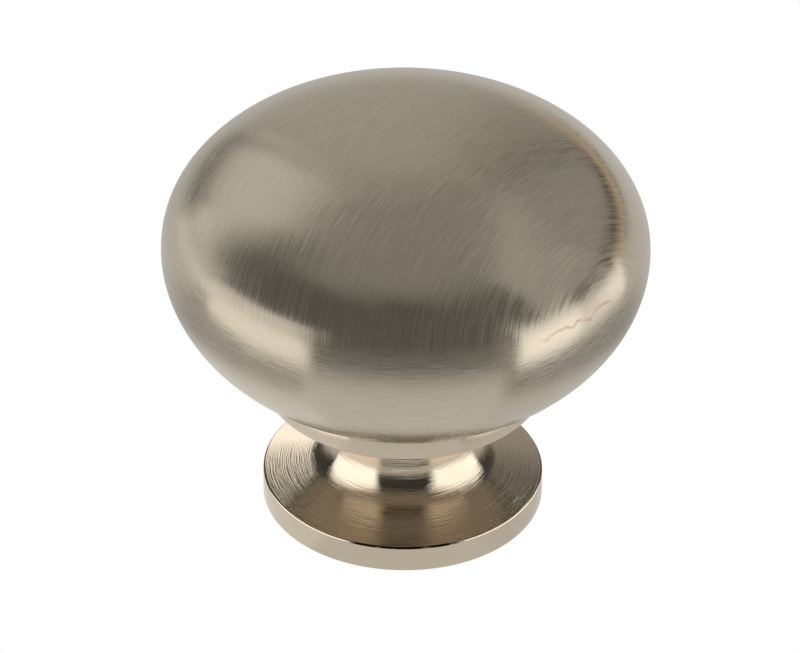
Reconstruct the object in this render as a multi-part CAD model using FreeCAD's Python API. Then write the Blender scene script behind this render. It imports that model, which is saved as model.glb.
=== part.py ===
# Mushroom-headed cabinet knob: a hollow drawn head held on a turned base post.
# Millimetres, +Z up. The origin is the centre of the foot's underside, where the knob meets the door.
import FreeCAD, Part
import math
import os

# Head: a flattened ball drawn from sheet, made of two half super-ellipses that meet at the equator
HEAD_DIAMETER = 31.75
EQUATOR_HEIGHT = 19.3
CROWN_RISE = 9.3
CROWN_FULLNESS = 2.11
BELLY_FULLNESS = 1.936
CAP_RADIUS = 3.0
SHEET_THICKNESS = 0.8
PROFILE_STEPS = 12

# Head's mouth: the sheet is spun inwards and lies flat on the collar
MOUTH_DIAMETER = 13.2
SEAM_GAP = 0.1

# Base bar: the foot that bears on the door and the collar that carries the head keep its full diameter
BASE_DIAMETER = 18.7
FOOT_THICKNESS = 1.86
COLLAR_THICKNESS = 1.4

# Waist: a short straight neck whose fillets run out into a shallow cone over the foot and, the other
# way up, into one under the collar
NECK_DIAMETER = 9.08
NECK_LENGTH = 0.87
NECK_FILLET = 2.37
CONE_DEGREES = 15.6

# Spigot and clinch flange, hidden inside the head: they trap the head's lip against the collar
SPIGOT_CLEARANCE = 0.05
FLANGE_OVERHANG = 1.2
FLANGE_THICKNESS = 0.9

# Blind hole for the mounting screw, drilled for a No. 8-32 thread
HOLE_DIAMETER = 3.454
HOLE_DEPTH = 9.5
DRILL_POINT_DEGREES = 118.0
COUNTERSINK_DIAMETER = 4.6
COUNTERSINK_DEGREES = 90.0

# Edges left by the lathe tool
RIM_CHAMFER = 0.1

# Levels and radii that follow from the sizes above
HEAD_RADIUS = HEAD_DIAMETER / 2
BASE_RADIUS = BASE_DIAMETER / 2
MOUTH_RADIUS = MOUTH_DIAMETER / 2
HOLE_RADIUS = HOLE_DIAMETER / 2
NECK_RADIUS = NECK_DIAMETER / 2
RIM_RADIUS = BASE_RADIUS - RIM_CHAMFER
CONE_SLOPE = math.radians(CONE_DEGREES)
CONE_INNER_RADIUS = NECK_RADIUS + NECK_FILLET * (1 - math.sin(CONE_SLOPE))
CONE_RISE = (RIM_RADIUS - CONE_INNER_RADIUS) * math.tan(CONE_SLOPE)
FILLET_RISE = NECK_FILLET * math.cos(CONE_SLOPE)
WAIST_MIDDLE = FOOT_THICKNESS + CONE_RISE + FILLET_RISE + NECK_LENGTH / 2
COLLAR_UNDERSIDE = 2 * WAIST_MIDDLE - FOOT_THICKNESS
COLLAR_TOP = COLLAR_UNDERSIDE + COLLAR_THICKNESS
FLANGE_UNDERSIDE = COLLAR_TOP + SHEET_THICKNESS
FLANGE_TOP = FLANGE_UNDERSIDE + FLANGE_THICKNESS
SPIGOT_RADIUS = MOUTH_RADIUS - SPIGOT_CLEARANCE


def at(r, z):
    """A point of a turned profile: r from the axis, z above the door."""
    return FreeCAD.Vector(r, 0, z)


def line(start, end):
    return Part.LineSegment(start, end).toShape()


def polyline(points):
    return [line(a, b) for a, b in zip(points, points[1:])]


def turned(edges):
    """The solid that a closed half profile sweeps in one turn about the Z axis."""
    face = Part.Face(Part.Wire(Part.__sortEdges__(edges)))
    solid = face.revolve(FreeCAD.Vector(0, 0, 0), FreeCAD.Vector(0, 0, 1), 360)
    return solid if solid.Volume > 0 else solid.reversed()


def belly_depth():
    """Semi-axis that brings the lower half down to the seam gap above the collar's rim."""
    drop = EQUATOR_HEIGHT - (COLLAR_TOP + SEAM_GAP)
    reach = (BASE_RADIUS / HEAD_RADIUS) ** BELLY_FULLNESS
    return drop / (1 - reach) ** (1 / BELLY_FULLNESS)


def half_curve(rise, fullness, last_angle):
    """Points of one half super-ellipse with their outward normals, from the equator on."""
    points = []
    for step in range(PROFILE_STEPS + 1):
        angle = last_angle * step / PROFILE_STEPS
        across = math.cos(angle) ** (2 / fullness)
        along = math.sin(angle) ** (2 / fullness)
        slope_r = across ** (fullness - 1) / HEAD_RADIUS
        slope_z = along ** (fullness - 1) / rise
        normal = at(slope_r, slope_z).normalize()
        points.append((at(HEAD_RADIUS * across, rise * along), normal))
    return points


def head_outline(inset):
    """One face of the sheet, from the flat of its lip to the crown: bend, side and crown cap."""
    rim_angle = math.acos((BASE_RADIUS / HEAD_RADIUS) ** (BELLY_FULLNESS / 2))
    cap_angle = math.acos((CAP_RADIUS / HEAD_RADIUS) ** (CROWN_FULLNESS / 2))
    belly = half_curve(belly_depth(), BELLY_FULLNESS, rim_angle)
    crown = half_curve(CROWN_RISE, CROWN_FULLNESS, cap_angle)
    equator = at(0, EQUATOR_HEIGHT)

    climb = math.atan2(belly[-1][1].x, belly[-1][1].z)
    bend_radius = SEAM_GAP / (1 - math.cos(climb))
    bend_centre = at(BASE_RADIUS - bend_radius * math.sin(climb), COLLAR_TOP + bend_radius)

    def on_bend(angle):
        return bend_centre + at(math.sin(angle), -math.cos(angle)) * (bend_radius - inset)

    cap_drop = CROWN_RISE - crown[-1][0].z
    cap_sphere = (CAP_RADIUS ** 2 + cap_drop ** 2) / (2 * cap_drop)
    cap_slope = math.asin(CAP_RADIUS / cap_sphere)
    cap_centre = equator + at(0, CROWN_RISE - cap_sphere)

    def on_cap(angle):
        return cap_centre + at(math.sin(angle), math.cos(angle)) * (cap_sphere - inset)

    side = [on_bend(climb)]
    side += [equator + at(p.x, -p.z) - at(n.x, -n.z) * inset for p, n in reversed(belly[:-1])]
    side += [equator + p - n * inset for p, n in crown[1:-1]]
    side.append(on_cap(cap_slope))
    curve = Part.BSplineCurve()
    curve.interpolate(
        Points=side,
        InitialTangent=at(math.cos(climb), math.sin(climb)),
        FinalTangent=at(-math.cos(cap_slope), math.sin(cap_slope)),
    )
    bend = Part.Arc(on_bend(0), on_bend(climb / 2), on_bend(climb))
    cap = Part.Arc(on_cap(cap_slope), on_cap(cap_slope / 2), on_cap(0))
    return bend, curve, cap


def head_shell():
    """One sheet of even thickness, closed over the crown and open at the mouth below."""
    outside = head_outline(0)
    inside = head_outline(SHEET_THICKNESS)
    edges = [part.toShape() for part in outside + inside]
    edges += polyline([
        outside[0].StartPoint,
        at(MOUTH_RADIUS, COLLAR_TOP),
        at(MOUTH_RADIUS, COLLAR_TOP + SHEET_THICKNESS),
        inside[0].StartPoint,
    ])
    edges.append(line(outside[-1].EndPoint, inside[-1].EndPoint))
    return turned(edges)


def half_waist():
    """The cone over the foot, the fillet and the neck, up to the waist's middle."""
    cone_end = at(CONE_INNER_RADIUS, FOOT_THICKNESS + CONE_RISE)
    neck_end = at(NECK_RADIUS, cone_end.z + FILLET_RISE)
    halfway = (math.pi / 2 - CONE_SLOPE) / 2
    fillet_centre = neck_end + at(NECK_FILLET, 0)
    fillet_middle = fillet_centre - at(math.cos(halfway), math.sin(halfway)) * NECK_FILLET
    return [
        line(at(RIM_RADIUS, FOOT_THICKNESS), cone_end),
        Part.Arc(cone_end, fillet_middle, neck_end).toShape(),
        line(neck_end, at(NECK_RADIUS, WAIST_MIDDLE)),
    ]


def base_post():
    """Foot, waist, collar, spigot and clinch flange, turned as one piece and drilled."""
    flange_radius = MOUTH_RADIUS + FLANGE_OVERHANG
    lower_waist = half_waist()
    upper_waist = [edge.mirror(at(0, WAIST_MIDDLE), at(0, 1)) for edge in lower_waist]
    foot = polyline([
        at(0, 0),
        at(RIM_RADIUS, 0),
        at(BASE_RADIUS, RIM_CHAMFER),
        at(BASE_RADIUS, FOOT_THICKNESS - RIM_CHAMFER),
        at(RIM_RADIUS, FOOT_THICKNESS),
    ])
    collar = polyline([
        at(RIM_RADIUS, COLLAR_UNDERSIDE),
        at(BASE_RADIUS, COLLAR_UNDERSIDE + RIM_CHAMFER),
        at(BASE_RADIUS, COLLAR_TOP - RIM_CHAMFER),
        at(RIM_RADIUS, COLLAR_TOP),
        at(SPIGOT_RADIUS, COLLAR_TOP),
    ])
    spigot = polyline([
        at(SPIGOT_RADIUS, COLLAR_TOP),
        at(SPIGOT_RADIUS, FLANGE_UNDERSIDE),
        at(flange_radius, FLANGE_UNDERSIDE),
        at(flange_radius, FLANGE_TOP),
        at(0, FLANGE_TOP),
        at(0, 0),
    ])
    return turned(foot + lower_waist + upper_waist + collar + spigot).cut(screw_hole())


def screw_hole():
    """Tool that leaves the blind hole, its drill point and the countersink at its mouth."""
    countersink_radius = COUNTERSINK_DIAMETER / 2
    sink_slope = math.tan(math.radians(COUNTERSINK_DEGREES / 2))
    sink_depth = (countersink_radius - HOLE_RADIUS) / sink_slope
    point_length = HOLE_RADIUS / math.tan(math.radians(DRILL_POINT_DEGREES / 2))
    return turned(polyline([
        at(0, 0),
        at(countersink_radius, 0),
        at(HOLE_RADIUS, sink_depth),
        at(HOLE_RADIUS, HOLE_DEPTH),
        at(0, HOLE_DEPTH + point_length),
        at(0, 0),
    ]))


os.makedirs("parts", exist_ok=True)
for name, make in (("head_shell", head_shell), ("base_post", base_post)):
    shape = make()
    shape.exportStep("parts/" + name + ".step")
    print(name, "valid", shape.isValid(), "solids", len(shape.Solids), "volume", round(shape.Volume, 1))
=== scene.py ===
# Looks of the mushroom cabinet knob: a satin-brushed nickel head on a bright, turned nickel base.
# Metres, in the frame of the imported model: +Z up, the foot's underside on the floor at Z = 0.
import bmesh
import bpy
import math
from mathutils import Matrix, Vector


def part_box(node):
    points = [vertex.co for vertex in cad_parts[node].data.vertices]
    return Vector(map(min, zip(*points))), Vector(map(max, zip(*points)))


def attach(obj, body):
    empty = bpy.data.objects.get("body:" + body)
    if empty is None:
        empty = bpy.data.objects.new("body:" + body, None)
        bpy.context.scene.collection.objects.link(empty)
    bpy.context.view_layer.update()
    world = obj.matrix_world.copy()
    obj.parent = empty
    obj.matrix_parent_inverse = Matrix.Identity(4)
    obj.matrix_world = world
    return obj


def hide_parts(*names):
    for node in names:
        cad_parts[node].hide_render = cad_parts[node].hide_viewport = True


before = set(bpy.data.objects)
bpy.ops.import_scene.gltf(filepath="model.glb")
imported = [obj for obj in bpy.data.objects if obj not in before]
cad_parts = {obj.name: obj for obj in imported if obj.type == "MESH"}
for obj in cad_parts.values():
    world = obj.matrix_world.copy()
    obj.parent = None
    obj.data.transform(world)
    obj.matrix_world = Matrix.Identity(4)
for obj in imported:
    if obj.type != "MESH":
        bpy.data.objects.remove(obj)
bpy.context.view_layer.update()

MM = 0.001
UP = Vector((0.0, 0.0, 1.0))

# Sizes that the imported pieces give
HEAD_LOW, HEAD_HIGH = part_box("head_shell")
POST_LOW, POST_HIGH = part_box("base_post")
HEAD_RADIUS = HEAD_HIGH.x
CROWN_HEIGHT = HEAD_HIGH.z
COLLAR_TOP = HEAD_LOW.z
BASE_RADIUS = POST_HIGH.x
FLANGE_TOP = POST_HIGH.z

# Head: two half super-ellipses that meet at the equator, and the lip on the collar
EQUATOR_HEIGHT = 19.3 * MM
CROWN_FULLNESS = 2.11
BELLY_FULLNESS = 1.936
SHEET_THICKNESS = 0.8 * MM
MOUTH_RADIUS = 6.6 * MM
SEAM_GAP = 0.1 * MM

# Base: foot, neck with a fillet and a cone at each end, collar, spigot and flange
FOOT_THICKNESS = 1.86 * MM
COLLAR_THICKNESS = 1.4 * MM
NECK_RADIUS = 4.54 * MM
NECK_FILLET = 2.37 * MM
CONE_SLOPE = math.radians(15.6)
SPIGOT_RADIUS = 6.55 * MM
FLANGE_RADIUS = 7.8 * MM
EDGE_RADIUS = 0.1 * MM

# Screw hole
HOLE_RADIUS = 1.727 * MM
HOLE_DEPTH = 9.5 * MM
HOLE_POINT = 1.038 * MM
SINK_RADIUS = 2.3 * MM

# Extra profile points that keep the long flat faces smooth
LIP_BEND_RADIUS = 8.9 * MM
UNDERSIDE_RING = 6.0 * MM

# Mesh density, the radius below which a point is on the axis, and the bend that stays a sharp edge
SEGMENTS = 320
CURVE_STEPS = 72
CONE_STEPS = 24
EDGE_STEPS = 4
ON_AXIS = 1e-9
SHARP_EDGE = math.radians(40)


def arc(centre, radius, first, last, steps):
    """Points of a circular arc in the (r, z) plane, angles in degrees from +r towards +z."""
    points = []
    for step in range(steps + 1):
        angle = math.radians(first + (last - first) * step / steps)
        points.append((centre[0] + radius * math.cos(angle), centre[1] + radius * math.sin(angle)))
    return points


def half_head(rise, fullness, last_angle, inset):
    """Half of the head's outline, from the equator on, as points of one face of the sheet."""
    points = []
    for step in range(CURVE_STEPS + 1):
        angle = last_angle * step / CURVE_STEPS
        across = max(math.cos(angle), 0.0) ** (2 / fullness)
        along = math.sin(angle) ** (2 / fullness)
        slope = Vector((across ** (fullness - 1) / HEAD_RADIUS, along ** (fullness - 1) / rise))
        slope.normalize()
        points.append((HEAD_RADIUS * across - slope.x * inset, rise * along - slope.y * inset))
    return points


def head_face(inset):
    """One face of the sheet from the crown down to the flat of its lip."""
    drop = EQUATOR_HEIGHT - COLLAR_TOP - SEAM_GAP
    reach = (BASE_RADIUS / HEAD_RADIUS) ** BELLY_FULLNESS
    depth = drop / (1 - reach) ** (1 / BELLY_FULLNESS)
    rim_angle = math.acos(math.sqrt(reach))
    crown = half_head(CROWN_HEIGHT - EQUATOR_HEIGHT, CROWN_FULLNESS, math.pi / 2, inset)
    belly = half_head(depth, BELLY_FULLNESS, rim_angle, inset)
    points = [(max(r, 0.0), EQUATOR_HEIGHT + z) for r, z in reversed(crown)]
    points += [(r, EQUATOR_HEIGHT - z) for r, z in belly[1:]]
    return points


def head_profile():
    """Closed outline of the sheet: outside from crown to lip, round the mouth, and back inside."""
    outside = head_face(0)
    inside = head_face(SHEET_THICKNESS)
    lip_top = COLLAR_TOP + SHEET_THICKNESS
    mouth = [(LIP_BEND_RADIUS, COLLAR_TOP), (MOUTH_RADIUS, COLLAR_TOP), (MOUTH_RADIUS, lip_top)]
    kept = [point for point in inside if point[1] > lip_top]
    return outside + mouth + list(reversed(kept))


def waist(rim, low, high):
    """From the foot's top edge over its cone, the fillet and the neck to the collar's lower edge."""
    cone_end = NECK_RADIUS + NECK_FILLET * (1 - math.sin(CONE_SLOPE))
    cone_rise = (rim - cone_end) * math.tan(CONE_SLOPE)
    half = []
    for step in range(CONE_STEPS):
        share = step / CONE_STEPS
        half.append((rim + (cone_end - rim) * share, low + cone_rise * share))
    centre = (NECK_RADIUS + NECK_FILLET, low + cone_rise + NECK_FILLET * math.cos(CONE_SLOPE))
    half += arc(centre, NECK_FILLET, -90 - math.degrees(CONE_SLOPE), -180, CURVE_STEPS)
    return half + [(r, low + high - z) for r, z in reversed(half)]


def base_profile():
    """Outline of the turned base from the hole's point, over the foot, neck and collar, to the flange."""
    collar_underside = COLLAR_TOP - COLLAR_THICKNESS
    flange_underside = COLLAR_TOP + SHEET_THICKNESS
    rim = BASE_RADIUS - EDGE_RADIUS
    points = [(0.0, HOLE_DEPTH + HOLE_POINT), (HOLE_RADIUS, HOLE_DEPTH)]
    points += [(HOLE_RADIUS, SINK_RADIUS - HOLE_RADIUS), (SINK_RADIUS, 0.0), (UNDERSIDE_RING, 0.0)]
    points += arc((rim, EDGE_RADIUS), EDGE_RADIUS, -90, 0, EDGE_STEPS)
    points += arc((rim, FOOT_THICKNESS - EDGE_RADIUS), EDGE_RADIUS, 0, 90, EDGE_STEPS)
    points += waist(rim, FOOT_THICKNESS, collar_underside)[1:-1]
    points += arc((rim, collar_underside + EDGE_RADIUS), EDGE_RADIUS, -90, 0, EDGE_STEPS)
    points += arc((rim, COLLAR_TOP - EDGE_RADIUS), EDGE_RADIUS, 0, 90, EDGE_STEPS)
    points += [(SPIGOT_RADIUS, COLLAR_TOP), (SPIGOT_RADIUS, flange_underside)]
    points += [(FLANGE_RADIUS, flange_underside), (FLANGE_RADIUS, FLANGE_TOP), (0.0, FLANGE_TOP)]
    return points


def lathe(name, profile):
    """A closed mesh turned about the Z axis from (r, z) points that start and end on the axis."""
    vertices = []
    rings = []
    for r, z in profile:
        if r <= ON_AXIS:
            rings.append([len(vertices)])
            vertices.append((0.0, 0.0, z))
            continue
        rings.append(list(range(len(vertices), len(vertices) + SEGMENTS)))
        for step in range(SEGMENTS):
            angle = 2 * math.pi * step / SEGMENTS
            vertices.append((r * math.cos(angle), r * math.sin(angle), z))
    faces = []
    for here, there in zip(rings, rings[1:]):
        for step in range(SEGMENTS):
            after = (step + 1) % SEGMENTS
            corners = [here[step % len(here)], there[step % len(there)]]
            corners += [there[after % len(there)], here[after % len(here)]]
            faces.append(tuple(dict.fromkeys(corners)))
    mesh = bpy.data.meshes.new(name)
    mesh.from_pydata(vertices, [], faces)
    mesh.validate()
    piece = bpy.data.objects.new(name, mesh)
    bpy.context.scene.collection.objects.link(piece)
    bpy.context.view_layer.objects.active = piece
    return piece


def outward(piece):
    """Turns every face outwards and shades it smooth, but for real edges."""
    shape = bmesh.new()
    shape.from_mesh(piece.data)
    bmesh.ops.recalc_face_normals(shape, faces=shape.faces)
    shape.to_mesh(piece.data)
    shape.free()
    piece.data.shade_smooth()
    piece.data.set_sharp_from_angle(angle=SHARP_EDGE)
    return piece


class Tree:
    """Adds nodes to a node tree in one line each."""

    # The Mix node's first input, second input and output for each kind of data
    MIX_SOCKETS = {"FLOAT": (2, 3, 0), "VECTOR": (4, 5, 1), "RGBA": (6, 7, 2)}

    def __init__(self, tree):
        self.tree = tree
        tree.nodes.clear()

    def put(self, node, key, value):
        """Links a socket to an input of the node, or sets the input to a value."""
        if isinstance(value, bpy.types.NodeSocket):
            self.tree.links.new(value, node.inputs[key])
        else:
            node.inputs[key].default_value = value

    def add(self, kind, *inputs, **settings):
        """A new node. Inputs are sockets or values, given in order, and by name in a dict."""
        node = self.tree.nodes.new("ShaderNode" + kind)
        named = settings.pop("named", {})
        for key, value in settings.items():
            setattr(node, key, value)
        for key, value in list(enumerate(inputs)) + list(named.items()):
            self.put(node, key, value)
        return node

    def math(self, operation, *inputs):
        return self.add("Math", *inputs, operation=operation).outputs[0]

    def product(self, first, *others):
        for other in others:
            first = self.math("MULTIPLY", first, other)
        return first

    def vector(self, operation, *inputs):
        node = self.add("VectorMath", *inputs, operation=operation)
        return node.outputs["Value" if operation in ("DOT_PRODUCT", "LENGTH") else "Vector"]

    def unit_cross(self, first, second):
        return self.vector("NORMALIZE", self.vector("CROSS_PRODUCT", first, second))

    def ramp(self, value, low, high, at_low=0.0, at_high=1.0):
        """A smooth step from at_low to at_high as the value goes from low to high."""
        node = self.add("MapRange", value, low, high, at_low, at_high, interpolation_type="SMOOTHSTEP")
        return node.outputs[0]

    def window(self, value, first, last, fade):
        """1 between two values, with a soft change to 0, as wide as the fade, just inside each of them."""
        opens = self.ramp(value, first, first + fade)
        closes = self.ramp(value, last - fade, last, 1.0, 0.0)
        return self.math("MULTIPLY", opens, closes)

    def band(self, value, stops):
        """Colour along a line of (place from 0 to 1, colour) stops."""
        node = self.add("ValToRGB", value)
        elements = node.color_ramp.elements
        elements[0].position, elements[0].color = stops[0][0], stops[0][1] + (1.0,)
        elements[1].position, elements[1].color = stops[-1][0], stops[-1][1] + (1.0,)
        for place, colour in stops[1:-1]:
            elements.new(place).color = colour + (1.0,)
        return node.outputs[0]

    def mix(self, factor, first, second, kind="FLOAT"):
        """Mix of two numbers, or of two vectors or colours."""
        first_socket, second_socket, output = self.MIX_SOCKETS[kind]
        node = self.add("Mix", factor, data_type=kind)
        self.put(node, first_socket, first)
        self.put(node, second_socket, second)
        return node.outputs[output]

    def blend(self, factor, first, second):
        """Mix of two colours."""
        return self.mix(factor, first, second, "RGBA")


def new_material(name):
    """An empty material and its node tree."""
    material = bpy.data.materials.new(name)
    material.use_nodes = True
    return material, Tree(material.node_tree)


STREAK_ROUGHNESS = 0.6


def streaks(tree, across, along, width, length, detail):
    """Noise drawn out into lines: `width` is their spacing and `length` their length."""
    stretched = tree.add("CombineXYZ", tree.math("DIVIDE", across, width), tree.math("DIVIDE", along, length))
    settings = {"Scale": 1.0, "Detail": detail, "Roughness": STREAK_ROUGHNESS}
    return tree.add("TexNoise", stretched.outputs[0], named=settings).outputs[0]


# Share of the noise's range over which the roughness changes from the bottom of a line to its top
ROUGHNESS_SPAN = (0.25, 0.75)

# Brush lines over the crown are circles about this axis
BRUSH_AXIS = Vector((0.788, -0.573, 0.225))
BRUSH_CENTRE = Vector((2.0, 1.7, -11.0)) * MM
# Spacing, length and detail of the lines, and how deep they are
CROWN_LINES = (0.09 * MM, 2.6 * MM, 2.5)
SIDE_LINES = (0.09 * MM, 1.8 * MM, 2.5)
LINE_DEPTH = 0.009 * MM
# Height over which the lines of the crown give way to lines round the side, and its ragged edge
SIDE_LINES_BELOW = 20.5 * MM
CROWN_LINES_ABOVE = 22.5 * MM
RAGGED_LINES = (0.5 * MM, 4 * MM, 3.0)
RAGGED_HEIGHT = 2.0 * MM
# Roughness and colour of the satin finish, each from the bottom of a line to its top
SATIN_ROUGHNESS = (0.17, 0.29)
SATIN_ANISOTROPY = 0.75
TINT_SPAN = (0.3, 0.7)
SATIN_TINTS = ((0.575, 0.503, 0.398, 1.0), (0.70, 0.612, 0.49, 1.0))
# A slow waver in the height of the stain and of the upper edge of the painted seam shade
WAVER_LINES = (2.0 * MM, 12 * MM, 2.0)
WAVER_SPAN = (0.3, 0.7)
WAVER = 0.3 * MM
# A thin rust-coloured stain lies round the side, in front and to the camera's right (turns in radians).
# It is strongest up to a short way above and below its middle and fades out a little further
STAIN = (0.42, 0.22, 0.10, 1.0)
STAIN_HEIGHT = 21.0 * MM
STAIN_FROM, STAIN_TO, STAIN_FADE = -1.02, -0.56, 0.06
STAIN_REACH = (0.03 * MM, 0.17 * MM)
STAIN_STRENGTH = 0.6
STAIN_PATCHES = (0.35, 0.6)
# Painted shade where the head's sheet bends in over the collar, and where above the collar it ends: a dull,
# dark colour that stands in for the shade and dark reflection in the seam
SEAM_PAINTED_SHADE = (0.03, 0.021, 0.013, 1.0)
SEAM_SHADE_ROUGHNESS = 0.8
SEAM_SHADE_SPECULAR = 0.1
SEAM_SHADE_UP_TO, UNSHADED_FROM = 1.0 * MM, 2.0 * MM


def satin_nickel():
    """Brushed plating of the head: arcs over the crown, lines round the side, the stain, and painted shade at
    the seam over the collar.
    """
    material, tree = new_material("satin_nickel")
    place = tree.add("TexCoord")
    position, normal = place.outputs["Object"], place.outputs["Normal"]
    parts = tree.add("SeparateXYZ", position)
    height = parts.outputs[2]
    turn = tree.math("ARCTAN2", parts.outputs[1], parts.outputs[0])
    side_along = tree.math("MULTIPLY", turn, HEAD_RADIUS)
    from_centre = tree.vector("SUBTRACT", position, BRUSH_CENTRE)
    crown_across = tree.vector("DOT_PRODUCT", from_centre, BRUSH_AXIS)
    crown_along = tree.vector("DOT_PRODUCT", from_centre, BRUSH_AXIS.cross(UP).normalized())

    crown_line = tree.unit_cross(BRUSH_AXIS, from_centre)
    side_line = tree.unit_cross(UP, position)
    same_way = tree.math("SIGN", tree.vector("DOT_PRODUCT", crown_line, side_line))
    side_line = tree.add("VectorMath", side_line, operation="SCALE", named={"Scale": same_way}).outputs[0]

    ragged = streaks(tree, crown_across, crown_along, *RAGGED_LINES)
    ragged = tree.math("MULTIPLY_ADD", ragged, RAGGED_HEIGHT, height)
    middle = RAGGED_HEIGHT / 2
    crown_share = tree.ramp(ragged, SIDE_LINES_BELOW + middle, CROWN_LINES_ABOVE + middle)
    crown_fine = streaks(tree, crown_across, crown_along, *CROWN_LINES)
    side_fine = streaks(tree, height, side_along, *SIDE_LINES)
    relief = tree.mix(crown_share, side_fine, crown_fine)
    direction = tree.mix(crown_share, side_line, crown_line, "VECTOR")
    tangent = tree.unit_cross(normal, direction)
    bump = tree.add("Bump", named={"Strength": 1.0, "Distance": LINE_DEPTH, "Height": relief})

    waver = streaks(tree, side_along, height, *WAVER_LINES)
    waver = tree.ramp(waver, *WAVER_SPAN, -WAVER, WAVER)
    from_stain = tree.math("SUBTRACT", height, tree.math("ADD", waver, STAIN_HEIGHT))
    from_stain = tree.math("ABSOLUTE", from_stain)
    stain = tree.product(
        tree.ramp(from_stain, *STAIN_REACH, STAIN_STRENGTH, 0.0),
        tree.ramp(side_fine, *STAIN_PATCHES),
        tree.window(turn, STAIN_FROM, STAIN_TO, STAIN_FADE),
    )
    wavering = tree.math("ADD", height, waver)
    # Painted shade: towards the collar seam the head's colour turns dull, dark and non-metal
    unshaded = tree.ramp(wavering, COLLAR_TOP + SEAM_SHADE_UP_TO, COLLAR_TOP + UNSHADED_FROM)

    tint = tree.blend(tree.ramp(relief, *TINT_SPAN), *SATIN_TINTS)
    tint = tree.blend(stain, tint, STAIN)
    tint = tree.blend(unshaded, SEAM_PAINTED_SHADE, tint)
    roughness = tree.ramp(relief, *ROUGHNESS_SPAN, *SATIN_ROUGHNESS)
    shader = tree.add("BsdfPrincipled", named={
        "Base Color": tint,
        "Metallic": unshaded,
        "Roughness": tree.mix(unshaded, SEAM_SHADE_ROUGHNESS, roughness),
        "Specular IOR Level": SEAM_SHADE_SPECULAR,
        "Anisotropic": SATIN_ANISOTROPY,
        "Tangent": tangent,
        "Normal": bump.outputs[0],
    })
    tree.add("OutputMaterial", shader.outputs[0])
    return material


# Turning marks of the base: spacing, length and detail, and how deep they are
RING_LINES = (0.12 * MM, 9.0 * MM, 3.0)
RING_DEPTH = 0.02 * MM
TURNED_ROUGHNESS = (0.08, 0.17)
TURNED_ANISOTROPY = 0.85
# The outer walls of foot and collar have no marks: where inside the full radius the change lies
TURNED_UP_TO, WALL_FROM = 0.15 * MM, 0.05 * MM
WALL_ROUGHNESS = 0.14
# The plating is bright but for the waist's upper half, up to under the collar, which has painted shade: a
# darker colour for the shade beneath the collar
BRIGHT_PLATING = (0.66, 0.565, 0.44, 1.0)
UNDER_COLLAR_PAINTED_SHADE = (0.34, 0.29, 0.225, 1.0)
UNDER_COLLAR_SHADE_FROM, UNDER_COLLAR_SHADE_TO = 6.2 * MM, 7.6 * MM
# The foot's upper edge has painted reflection in front, between these turns in radians: dark patches for the
# dark camera side that the edge mirrors there
FRONT_EDGE_PAINTED_REFLECTION = (0.05, 0.032, 0.02, 1.0)
DARK_EDGE_FROM, DARK_EDGE_TO, DARK_EDGE_FADE = -1.98, -1.14, 0.1
DARK_EDGE_LINES = (2.0 * MM, 2.2 * MM, 3.0)
DARK_EDGE_PATCHES = (0.40, 0.50)
# The dark patches come in over a short way inside the full radius and under the foot's top. They end above it
DARK_EDGE_INSIDE = (0.14 * MM, 0.10 * MM)
DARK_EDGE_UNDER = (0.12 * MM, 0.09 * MM)
DARK_EDGE_END = (0.3 * MM, 0.4 * MM)


def bright_nickel():
    """Bright plating over the marks that the turning tool left in the base, with painted shade under the
    collar and a painted dark reflection on the front of the foot's edge.
    """
    material, tree = new_material("bright_nickel")
    place = tree.add("TexCoord")
    position, normal = place.outputs["Object"], place.outputs["Normal"]
    parts = tree.add("SeparateXYZ", position)
    height = parts.outputs[2]
    flat = tree.add("CombineXYZ", parts.outputs[0], parts.outputs[1])
    radius = tree.vector("LENGTH", flat.outputs[0])
    turn = tree.math("ARCTAN2", parts.outputs[1], parts.outputs[0])
    along = tree.math("MULTIPLY", turn, BASE_RADIUS)
    across = tree.math("SUBTRACT", height, radius)

    rings = streaks(tree, across, along, *RING_LINES)
    tangent = tree.unit_cross(normal, tree.vector("CROSS_PRODUCT", UP, position))
    turned = tree.ramp(radius, BASE_RADIUS - TURNED_UP_TO, BASE_RADIUS - WALL_FROM, 1.0, 0.0)
    relief = tree.math("MULTIPLY", rings, turned)
    bump = tree.add("Bump", named={"Strength": 1.0, "Distance": RING_DEPTH, "Height": relief})
    turned_roughness = tree.ramp(rings, *ROUGHNESS_SPAN, *TURNED_ROUGHNESS)

    # Painted shade: the upper waist and the collar's underside get a darker plating colour
    under_collar_shade = tree.math("MULTIPLY", turned, tree.ramp(height, UNDER_COLLAR_SHADE_FROM, UNDER_COLLAR_SHADE_TO))
    # Painted reflection: dark patches on the front of the foot's upper edge
    dark_edge = tree.product(
        tree.ramp(streaks(tree, across, along, *DARK_EDGE_LINES), *DARK_EDGE_PATCHES),
        tree.ramp(radius, BASE_RADIUS - DARK_EDGE_INSIDE[0], BASE_RADIUS - DARK_EDGE_INSIDE[1]),
        tree.ramp(height, FOOT_THICKNESS - DARK_EDGE_UNDER[0], FOOT_THICKNESS - DARK_EDGE_UNDER[1]),
        tree.ramp(height, FOOT_THICKNESS + DARK_EDGE_END[0], FOOT_THICKNESS + DARK_EDGE_END[1], 1.0, 0.0),
        tree.window(turn, DARK_EDGE_FROM, DARK_EDGE_TO, DARK_EDGE_FADE),
    )
    tint = tree.blend(under_collar_shade, BRIGHT_PLATING, UNDER_COLLAR_PAINTED_SHADE)
    tint = tree.blend(dark_edge, tint, FRONT_EDGE_PAINTED_REFLECTION)
    shader = tree.add("BsdfPrincipled", named={
        "Base Color": tint,
        "Metallic": 1.0,
        "Roughness": tree.mix(turned, WALL_ROUGHNESS, turned_roughness),
        "Anisotropic": TURNED_ANISOTROPY,
        "Tangent": tangent,
        "Normal": bump.outputs[0],
    })
    tree.add("OutputMaterial", shader.outputs[0])
    return material


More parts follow.
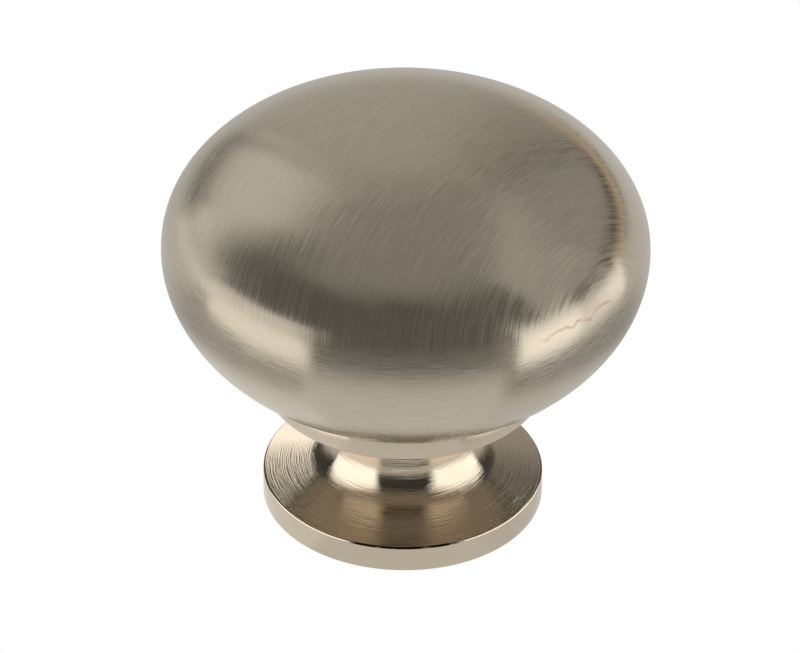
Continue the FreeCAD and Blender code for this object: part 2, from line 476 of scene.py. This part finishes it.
# Distance of the pale walls from the knob's axis, and the factor that makes a light's power, by its
# area, that of a surface as bright as the brightness given
WALL_DISTANCE = 300 * MM
POWER = 4

# Soft boxes and pale walls round the knob, flat and out of the camera's sight. The head has a set of its
# own, and so has the base, whose waist looks up at a nearer pair. Each is (name, piece that it lights,
# azimuth and distance of one end, the same of the other end, foot and top above the table, brightness).
# Azimuth 0 is towards the camera and + is to its right, in degrees
SOFT_BOXES = (
    ("box_left", "head", -36, 52 * MM, -88, 70 * MM, 0.0, 33 * MM, 0.58),
    ("box_right", "head", 44, 50 * MM, 74, 58 * MM, 0.0, 28 * MM, 0.88),
    ("box_right_end", "head", 74, 58 * MM, 106, 72 * MM, 0.0, 26 * MM, 0.58),
    ("wall_left", "head", -93, WALL_DISTANCE, -131, WALL_DISTANCE, 0.0, 110 * MM, 0.46),
    ("wall_behind_left_wide", "head", -113, WALL_DISTANCE, -158, WALL_DISTANCE, 90 * MM, 480 * MM, 0.26),
    ("wall_behind_left_low", "head", -103, WALL_DISTANCE, -152, WALL_DISTANCE, 90 * MM, 410 * MM, 0.25),
    ("camera_side_left", "head", -112, WALL_DISTANCE, 0, WALL_DISTANCE, 0.0, 300 * MM, 0.07),
    ("camera_side_right", "head", 0, WALL_DISTANCE, 106, WALL_DISTANCE, 0.0, 300 * MM, 0.07),
    ("wall_right", "head", 62, WALL_DISTANCE, 150, WALL_DISTANCE, 80 * MM, 440 * MM, 0.23),
    ("waist_box_left", "base", -36, 30 * MM, -107, 32 * MM, 0.0, 27 * MM, 1.30),
    ("waist_box_right", "base", 42, 30 * MM, 118, 32 * MM, 0.0, 27 * MM, 1.25),
    ("wall_behind_left", "base", -157, WALL_DISTANCE, -175, WALL_DISTANCE, 40 * MM, 330 * MM, 0.85),
)

# The room further off is painted on the world, in bands that run round the knob one above the other.
# Each patch is (first azimuth, last azimuth, colour), and the gaps between patches are soft changes
CAMERA_SIDE = (0.045, 0.045, 0.042)
SHADE = (0.06, 0.06, 0.055)
GREY_WALL = (0.48, 0.48, 0.46)
RIGHT_WALL = (0.36, 0.35, 0.33)
TAN = (0.60, 0.49, 0.36)
OVERHEAD = (0.30, 0.30, 0.29)
PALE = (1.0, 1.0, 1.0, 1.0)
STREAK_BAND = (
    (-180, -162, GREY_WALL), (-154, -128, SHADE), (-118, 110, CAMERA_SIDE),
    (114, 124, TAN), (128, 160, SHADE), (168, 180, GREY_WALL),
)
TAN_BAND = (
    (-180, -162, GREY_WALL), (-154, -128, SHADE), (-118, 110, CAMERA_SIDE),
    (113, 164, TAN), (170, 180, GREY_WALL),
)
UPPER_BAND = (
    (-180, -161, GREY_WALL), (-155, -126, SHADE), (-118, 108, CAMERA_SIDE),
    (114, 153, SHADE), (159, 168, RIGHT_WALL), (174, 180, GREY_WALL),
)
# (elevation where the change to it starts, elevation where it ends, band), from below upwards
ELEVATIONS = ((1, 2, TAN_BAND), (6, 8, UPPER_BAND))
OVERHEAD_FROM, OVERHEAD_TO = 46, 68


def on_table(azimuth, distance):
    """The place on the table at an azimuth in degrees and a distance from the knob's axis."""
    angle = math.radians(azimuth)
    return Vector((math.sin(angle), -math.cos(angle), 0.0)) * distance


def soft_box(name, lit, first_azimuth, first_distance, last_azimuth, last_distance, low, high, brightness):
    """A flat upright area light that spans two places round the knob and faces it."""
    first = on_table(first_azimuth, first_distance)
    last = on_table(last_azimuth, last_distance)
    inwards = (last - first).cross(UP)
    if inwards.dot(first) > 0:
        inwards.negate()
    light = bpy.data.lights.new(name, "AREA")
    light.shape = "RECTANGLE"
    light.size = (last - first).length
    light.size_y = high - low
    light.energy = POWER * brightness * light.size * light.size_y
    lamp = bpy.data.objects.new(name, light)
    middle = (first + last) / 2 + UP * ((low + high) / 2)
    lamp.matrix_world = Matrix.Translation(middle) @ inwards.to_track_quat("-Z", "Y").to_matrix().to_4x4()
    lamp.visible_camera = False
    bpy.context.scene.collection.objects.link(lamp)
    lit_pieces = bpy.data.collections.new(name + "_lights")
    lit_pieces.objects.link(bpy.data.objects[lit])
    lamp.light_linking.receiver_collection = lit_pieces


def stops_of(band):
    """Colour stops round the horizon for a band's patches."""
    stops = []
    for first, last, colour in band:
        stops += [((first + 180) / 360, colour), ((last + 180) / 360, colour)]
    return stops


def height_of(elevation):
    """How high a direction points, on a unit sphere, for an elevation in degrees."""
    return math.sin(math.radians(elevation))


def studio():
    """The soft boxes, and the room round them as the knob sees it; the camera sees plain pale."""
    for box in SOFT_BOXES:
        soft_box(*box)
    world = bpy.data.worlds.new("studio")
    bpy.context.scene.world = world
    world.use_nodes = True
    tree = Tree(world.node_tree)
    parts = tree.add("SeparateXYZ", tree.add("TexCoord").outputs["Generated"])
    backward = tree.math("MULTIPLY", parts.outputs[1], -1.0)
    turn = tree.math("ARCTAN2", parts.outputs[0], backward)
    around = tree.math("MULTIPLY_ADD", turn, 0.5 / math.pi, 0.5)
    height = parts.outputs[2]
    colour = tree.band(around, stops_of(STREAK_BAND))
    for start, end, band in ELEVATIONS:
        share = tree.ramp(height, height_of(start), height_of(end))
        colour = tree.blend(share, colour, tree.band(around, stops_of(band)))
    overhead = tree.ramp(height, height_of(OVERHEAD_FROM), height_of(OVERHEAD_TO))
    colour = tree.blend(overhead, colour, OVERHEAD + (1.0,))
    seen = tree.add("LightPath").outputs["Is Camera Ray"]
    colour = tree.blend(seen, colour, PALE)
    tree.add("OutputWorld", tree.add("Background", colour).outputs[0])
    world.cycles.sampling_method = "NONE"


TABLE_SIZE = 4.0
# Light from the table as the knob sees it: (distance, brightness) near the knob and further off
FRONT_NEAR, FRONT_FAR = (22 * MM, 0.70), (85 * MM, 0.19)
SIDE_NEAR, SIDE_FAR = (18 * MM, 0.82), (30 * MM, 0.43)
# Share of the side's brightness that is left on the camera's right, and half the width of the change
RIGHT_SHARE = 0.8
RIGHT_FROM = 10 * MM
# Behind the knob the table is bright throughout, from one distance to the other behind its axis
BEHIND, BEHIND_FROM, BEHIND_TO = 0.62, 5 * MM, 30 * MM
# Share of a place's distance that is sideways, where the front gives way to the side
FRONT_UP_TO, SIDE_FROM = 0.58, 0.70


def floor():
    """A plain pale light table: burnt out to white for the camera, dimmer and uneven to the knob."""
    bpy.ops.mesh.primitive_plane_add(size=TABLE_SIZE, location=(0.0, 0.0, 0.0))
    table = bpy.context.object
    table.name = "floor"
    material, tree = new_material("pale_floor")
    place = tree.add("TexCoord").outputs["Object"]
    parts = tree.add("SeparateXYZ", place)
    reach = tree.vector("LENGTH", place)
    sideways = tree.math("DIVIDE", tree.math("ABSOLUTE", parts.outputs[0]), reach)
    front = tree.ramp(reach, FRONT_NEAR[0], FRONT_FAR[0], FRONT_NEAR[1], FRONT_FAR[1])
    side = tree.ramp(reach, SIDE_NEAR[0], SIDE_FAR[0], SIDE_NEAR[1], SIDE_FAR[1])
    side = tree.math("MULTIPLY", side, tree.ramp(parts.outputs[0], -RIGHT_FROM, RIGHT_FROM, 1.0, RIGHT_SHARE))
    glow = tree.mix(tree.ramp(sideways, FRONT_UP_TO, SIDE_FROM), front, side)
    glow = tree.mix(tree.ramp(parts.outputs[1], BEHIND_FROM, BEHIND_TO), glow, BEHIND)
    seen = tree.add("LightPath").outputs["Is Camera Ray"]
    tree.add("OutputMaterial", tree.add("Emission", PALE, tree.mix(seen, glow, 1.0)).outputs[0])
    material.cycles.emission_sampling = "NONE"
    table.data.materials.append(material)


# Camera, fitted to the photograph's outlines; image places are pixels of its 800 x 653 frame
CAMERA_DISTANCE = 0.300
CAMERA_ELEVATION = math.radians(34.21)
CAMERA_ROLL = math.radians(0.77)
AIM = Vector((0.0, 0.0, 12 * MM))
AIM_PIXEL = (404.7, 339.4)
IMAGE_WIDTH, IMAGE_HEIGHT = 800, 653
PIXELS_PER_METRE = 15197.0
SENSOR_WIDTH = 36.0
NEAREST, FURTHEST = 0.01, 10.0


def camera():
    """The photograph's viewpoint."""
    focal = PIXELS_PER_METRE * CAMERA_DISTANCE
    lens = bpy.data.cameras.new("camera")
    lens.sensor_width = SENSOR_WIDTH
    lens.lens = focal * SENSOR_WIDTH / IMAGE_WIDTH
    lens.clip_start, lens.clip_end = NEAREST, FURTHEST
    eye = bpy.data.objects.new("camera", lens)
    bpy.context.scene.collection.objects.link(eye)
    bpy.context.scene.camera = eye
    back = Vector((0.0, -math.cos(CAMERA_ELEVATION), math.sin(CAMERA_ELEVATION)))
    tilt_up = math.atan((AIM_PIXEL[1] - IMAGE_HEIGHT / 2) / focal)
    turn_left = math.atan((AIM_PIXEL[0] - IMAGE_WIDTH / 2) / focal)
    look = (-back).to_track_quat("-Z", "Y").to_matrix()
    look = look @ Matrix.Rotation(turn_left, 3, "Y") @ Matrix.Rotation(tilt_up, 3, "X")
    look = look @ Matrix.Rotation(CAMERA_ROLL, 3, "Z")
    eye.matrix_world = Matrix.Translation(AIM + back * CAMERA_DISTANCE) @ look.to_4x4()


def dress():
    """Makes the finished pieces and hides the plain ones that they stand for."""
    head = outward(lathe("head", head_profile()))
    head.data.materials.append(satin_nickel())
    base = outward(lathe("base", base_profile()))
    base.data.materials.append(bright_nickel())
    for piece, node, finish in ((head, "head_shell", "satin_nickel"), (base, "base_post", "bright_nickel")):
        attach(piece, "root")
        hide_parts(node)


dress()
floor()
studio()
camera()
bpy.context.scene.view_settings.view_transform = "Standard"
